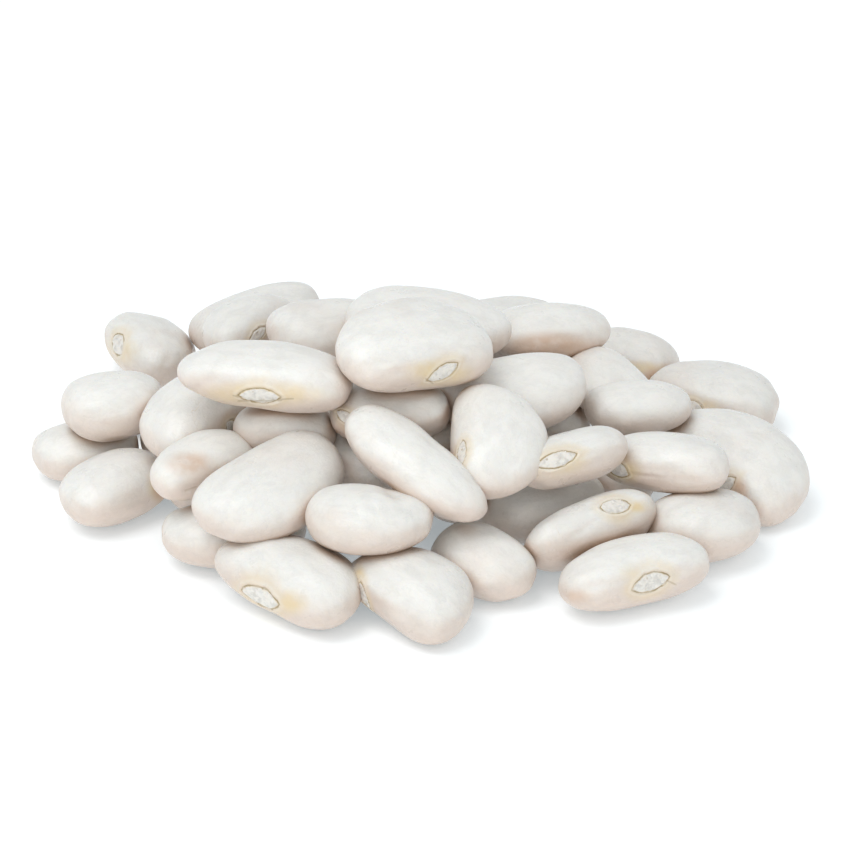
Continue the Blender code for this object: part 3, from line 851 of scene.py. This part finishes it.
def flake_tree():
    """Geometry nodes: flat crumbs scattered over a ground and lying in it."""
    group = bpy.data.node_groups.new("eye flakes", "GeometryNodeTree")
    for socket, kind in (
        ("Ground", "NodeSocketGeometry"),
        ("Apart", "NodeSocketFloat"),
        ("Size", "NodeSocketFloat"),
        ("Seed", "NodeSocketInt"),
        ("Material", "NodeSocketMaterial"),
    ):
        group.interface.new_socket(socket, in_out="INPUT", socket_type=kind)
    group.interface.new_socket("Flakes", in_out="OUTPUT", socket_type="NodeSocketGeometry")
    tree = Tree(group)
    start = tree.add("NodeGroupInput").outputs
    points = tree.add("GeometryNodeDistributePointsOnFaces", distribute_method="POISSON")
    tree.put(start["Ground"], points.inputs["Mesh"])
    tree.put(start["Apart"], points.inputs["Distance Min"])
    points.inputs["Density Max"].default_value = MOST_FLAKES
    tree.put(start["Seed"], points.inputs["Seed"])
    crumb = tree.add("GeometryNodeMeshIcoSphere")
    tree.put(start["Size"], crumb.inputs["Radius"])
    crumb.inputs["Subdivisions"].default_value = 2
    sizes = tree.add("FunctionNodeRandomValue", data_type="FLOAT_VECTOR")
    tree.put(FLAKE_LEAST, sizes.inputs[0])
    tree.put(FLAKE_MOST, sizes.inputs[1])
    tree.put(start["Seed"], sizes.inputs["Seed"])
    tips = tree.add("FunctionNodeRandomValue", data_type="FLOAT_VECTOR")
    tree.put((-FLAKE_TIP, -FLAKE_TIP, 0.0), tips.inputs[0])
    tree.put((FLAKE_TIP, FLAKE_TIP, math.tau), tips.inputs[1])
    tree.put(start["Seed"], tips.inputs["Seed"])
    turn = tree.add("FunctionNodeRotateRotation", rotation_space="LOCAL")
    tree.put(points.outputs["Rotation"], turn.inputs["Rotation"])
    tree.put(tips.outputs[0], turn.inputs["Rotate By"])
    placed = tree.add("GeometryNodeInstanceOnPoints")
    tree.put(points.outputs["Points"], placed.inputs["Points"])
    tree.put(crumb.outputs["Mesh"], placed.inputs["Instance"])
    tree.put(turn.outputs[0], placed.inputs["Rotation"])
    tree.put(sizes.outputs[0], placed.inputs["Scale"])
    real = tree.add("GeometryNodeRealizeInstances")
    tree.put(placed.outputs[0], real.inputs[0])
    dressed = tree.add("GeometryNodeSetMaterial")
    tree.put(real.outputs[0], dressed.inputs["Geometry"])
    tree.put(start["Material"], dressed.inputs["Material"])
    tree.put(dressed.outputs[0], tree.add("NodeGroupOutput").inputs["Flakes"])
    return group


def flake_material():
    material = bpy.data.materials.new("eye flakes")
    material.use_nodes = True
    tree = Tree(material.node_tree)
    shader = material.node_tree.nodes["Principled BSDF"]
    place = tree.add("ShaderNodeTexCoord").outputs["Object"]
    stained = tree.ease(tree.noise(place, FLAKE_MOTTLES, 3.0), 0.50, 0.68)
    tree.put(tree.mix(stained, PLUG, FLAKE_STAIN), shader.inputs["Base Color"])
    shader.inputs["Roughness"].default_value = 0.8
    return material


def scatter_flakes(skins, shift):
    """The crumbly crust in the eyes, over the faces of the beans that lie inside an eye."""
    corners = []
    for skin in skins:
        inside = lens(skin.eye[:, 0], skin.eye[:, 1]) < FLAKE_EDGE
        corners.extend(skin.points[quad] for quad in skin.quads[inside[skin.quads].all(axis=1)])
    points = (np.concatenate(corners) + shift) * MM
    data = bpy.data.meshes.new("eye_grounds")
    faces = np.arange(len(points)).reshape(-1, 4)
    data.from_pydata(points.tolist(), [], faces.tolist())
    ground = bpy.data.objects.new("eye_grounds", data)
    bpy.context.scene.collection.objects.link(ground)
    given = {
        "Apart": FLAKE_APART * MM,
        "Size": FLAKE_SIZE * MM,
        "Seed": FLAKE_SEED,
        "Material": flake_material(),
    }
    modifier = ground.modifiers.new("flakes", "NODES")
    modifier.node_group = flake_tree()
    for item in modifier.node_group.interface.items_tree:
        if item.in_out == "INPUT" and item.name in given:
            modifier[item.identifier] = given[item.name]
    graph = bpy.context.evaluated_depsgraph_get()
    crust = bpy.data.meshes.new_from_object(ground.evaluated_get(graph))
    bpy.data.objects.remove(ground)
    crust.name = "eye_flakes"
    flakes = bpy.data.objects.new("eye_flakes", crust)
    bpy.context.scene.collection.objects.link(flakes)
    return flakes


def use_group(tree, group, *given):
    node = tree.add("ShaderNodeGroup", node_tree=group)
    for socket, value in zip(node.inputs, given):
        tree.put(value, socket)
    return node.outputs


def bean_material(colour_group, eye_group):
    material = bpy.data.materials.new("white bean skin")
    material.use_nodes = True
    tree = Tree(material.node_tree)
    shader = material.node_tree.nodes["Principled BSDF"]
    place = tree.attribute("place")
    marks = tree.parts(tree.attribute("marks"))
    seat = tree.attribute("eye")
    # The third channel of the eye attribute is the painted shade between beans.
    skin = use_group(tree, colour_group, place, tree.attribute("tint"), tree.parts(seat)[2])
    eye = use_group(tree, eye_group, place, seat)
    blotches = tree.noise(place, BLOTCHES, 3.0)
    broken = tree.ease(blotches, 0.30, 0.62, 0.55, 1.0)
    yellow = tree.maths("MAXIMUM", marks[0], tree.maths("MULTIPLY", eye["Halo"], 0.45))
    colour = tree.mix(tree.maths("MULTIPLY", yellow, broken), skin["Colour"], YELLOW)
    colour = tree.mix(tree.maths("MULTIPLY", marks[1], broken), colour, BROWN)
    colour = tree.mix(tree.maths("MULTIPLY", eye["Lip"], 0.25), colour, HALF_LIT_AND_LIP_WHITE)
    flakes = tree.ease(tree.noise(place, 1.2, 4.0), 0.30, 0.60, 0.80, 1.0)
    plug = tree.mix(1.0, PLUG, flakes, "MULTIPLY")
    colour = tree.mix(eye["Plug"], colour, plug)
    colour = tree.mix(tree.maths("MULTIPLY", eye["Line"], 0.85), colour, RIM_LINE)
    # The dark line along each crease is partly the skin's own mark and partly painted shade in the
    # fold.
    crease = tree.ease(marks[2], 0.05, 0.22, 0.45, 0.0)
    colour = tree.mix(crease, colour, RIM_LINE)
    tree.put(colour, shader.inputs["Base Color"])
    rough = tree.ease(blotches, 0.3, 0.7, GLOSSY, DULLER)
    rough = tree.ease(eye["Plug"], 0.0, 1.0, rough, PLUG_ROUGHNESS)
    tree.put(rough, shader.inputs["Roughness"])
    pores = tree.maths("MULTIPLY", tree.noise(place, PORES, 4.0, 0.6), 0.5)
    height = tree.maths("ADD", tree.noise(place, 0.7, 3.0), pores)
    bump = tree.add("ShaderNodeBump")
    bump.inputs["Strength"].default_value = 0.6
    bump.inputs["Distance"].default_value = BUMP_HEIGHT * MM
    tree.put(height, bump.inputs["Height"])
    tree.put(bump.outputs[0], shader.inputs["Normal"])
    shader.inputs["Subsurface Weight"].default_value = 0.18
    shader.inputs["Subsurface Radius"].default_value = (1.0, 0.75, 0.5)
    shader.inputs["Subsurface Scale"].default_value = SINK_IN * MM
    shader.inputs["IOR"].default_value = 1.45
    return material


def floor_material():
    material = bpy.data.materials.new("white table")
    material.use_nodes = True
    shader = material.node_tree.nodes["Principled BSDF"]
    shader.inputs["Base Color"].default_value = FLOOR_WHITE
    shader.inputs["Roughness"].default_value = 0.9
    shader.inputs["Specular IOR Level"].default_value = 0.1
    shader.inputs["Emission Color"].default_value = FLOOR_LIFT
    shader.inputs["Emission Strength"].default_value = FLOOR_GLOW
    return material


# Hidden beans of which a sliver shows.
SEEN_FILLERS = ("inner_13", "inner_14", "second_5")

# The pieces of the scene, by how the names of their beans begin; the rest are the crown's.
PIECES = {
    "hidden_beans": ("inner", "rear", "second"),
    "front_beans": ("front", "notched", "shaded", "edge_up"),
    "left_beans": ("left", "brown_spot", "broad_left"),
    "right_beans": ("right", "eye_out", "wedged"),
    "back_beans": ("far_left", "back", "behind"),
}


def piece_of(name):
    """Which piece of the scene a bean belongs to."""
    for piece, beginnings in PIECES.items():
        if name.startswith(beginnings):
            return piece
    return "crown_beans"


def dress_heap():
    """Every bean of the heap at full detail, as a few pieces that replace the part's one node."""
    heap = lay_heap()
    few = directions(SAMPLE_SEGMENTS, SAMPLE_RINGS)
    box = np.concatenate([kidney(few, laid.bean) @ laid.turn.T + laid.middle for laid in heap])
    low, high = (np.array(corner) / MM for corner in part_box("bean_heap"))
    shift = 0.5 * (low + high) - 0.5 * (box.min(axis=0) + box.max(axis=0))
    shift[2] = 0.0
    pieces = {}
    for laid in heap:
        name = laid.bean.name
        seen = isinstance(laid.bean, Bean) or name in SEEN_FILLERS
        skin = Skin(laid, seen, rng)
        skin.crowd(laid, heap)
        pieces.setdefault(piece_of(name), []).append(skin)
    pale = bean_material(skin_colour_group(), eye_mask_group())
    eyed = [skin for skins in pieces.values() for skin in skins if skin.eyed]
    finished = [scatter_flakes(eyed, shift)]
    for name, skins in pieces.items():
        piece = mesh_object(name, skins, shift)
        piece.data.materials.append(pale)
        finished.append(piece)
    for piece in finished:
        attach(piece, "root")
        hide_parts("bean_heap")
    return shift


TABLE_SIDE = 6.0


def lay_floor():
    data = bpy.data.meshes.new("table_top")
    half = 0.5 * TABLE_SIDE
    corners = [(-half, -half, 0.0), (half, -half, 0.0), (half, half, 0.0), (-half, half, 0.0)]
    data.from_pydata(corners, [], [(0, 1, 2, 3)])
    floor = bpy.data.objects.new("table_top", data)
    bpy.context.scene.collection.objects.link(floor)
    data.materials.append(floor_material())


# The lamps: where each stands, its two sides, its power in watts and its colour. Then the point that
# they shine at, the light of the sky, and how near to the camera a thing still shows.
Lamp = namedtuple("Lamp", "name place sides power colour")
LAMPS = (
    Lamp("along the sight", (-0.03, -0.87, 0.46), (0.5, 0.3), 0.9, (1.0, 0.985, 0.965)),
    Lamp("low front", (-0.06, -0.98, 0.13), (0.24, 0.16), 0.7, (1.0, 0.99, 0.98)),
    Lamp("overhead", (-0.30, -0.18, 0.85), (0.6, 0.6), 3.1, (1.0, 1.0, 1.0)),
)
LAMP_TARGET = (0.0, 0.0, 0.01)
SKY_COLOUR = (0.97, 0.985, 0.99, 1.0)
SKY_STRENGTH = 0.66
NEAREST_SEEN = 0.05


def aim(obj, target):
    """Turns a lamp at a point."""
    back = np.array(obj.location) - np.array(target)
    back /= np.linalg.norm(back)
    right = np.cross((0.0, 0.0, 1.0), back)
    right /= np.linalg.norm(right)
    up = np.cross(back, right)
    obj.rotation_euler = Matrix((right, up, back)).transposed().to_euler()


def soft_light(lamp):
    data = bpy.data.lights.new(lamp.name, "AREA")
    data.shape = "RECTANGLE"
    data.size, data.size_y = lamp.sides
    data.energy = lamp.power
    data.color = lamp.colour
    light = bpy.data.objects.new(lamp.name, data)
    light.location = lamp.place
    bpy.context.scene.collection.objects.link(light)
    aim(light, LAMP_TARGET)


def light_studio():
    world = bpy.data.worlds.new("white studio")
    world.use_nodes = True
    sky = world.node_tree.nodes["Background"]
    sky.inputs["Color"].default_value = SKY_COLOUR
    sky.inputs["Strength"].default_value = SKY_STRENGTH
    bpy.context.scene.world = world
    for lamp in LAMPS:
        soft_light(lamp)


def place_camera(shift):
    data = bpy.data.cameras.new("sight")
    data.sensor_width = SENSOR
    data.lens = SENSOR * SIGHT_DISTANCE * PIXELS_PER_MM / PICTURE_SIDE
    data.clip_start = NEAREST_SEEN
    camera = bpy.data.objects.new("sight", data)
    camera.location = tuple((SIGHT_EYE + shift) * MM)
    camera.rotation_euler = (math.radians(90.0) - SIGHT_ELEVATION, 0.0, 0.0)
    bpy.context.scene.collection.objects.link(camera)
    bpy.context.scene.camera = camera


shift = dress_heap()
lay_floor()
light_studio()
place_camera(shift)
bpy.context.scene.view_settings.view_transform = "Standard"
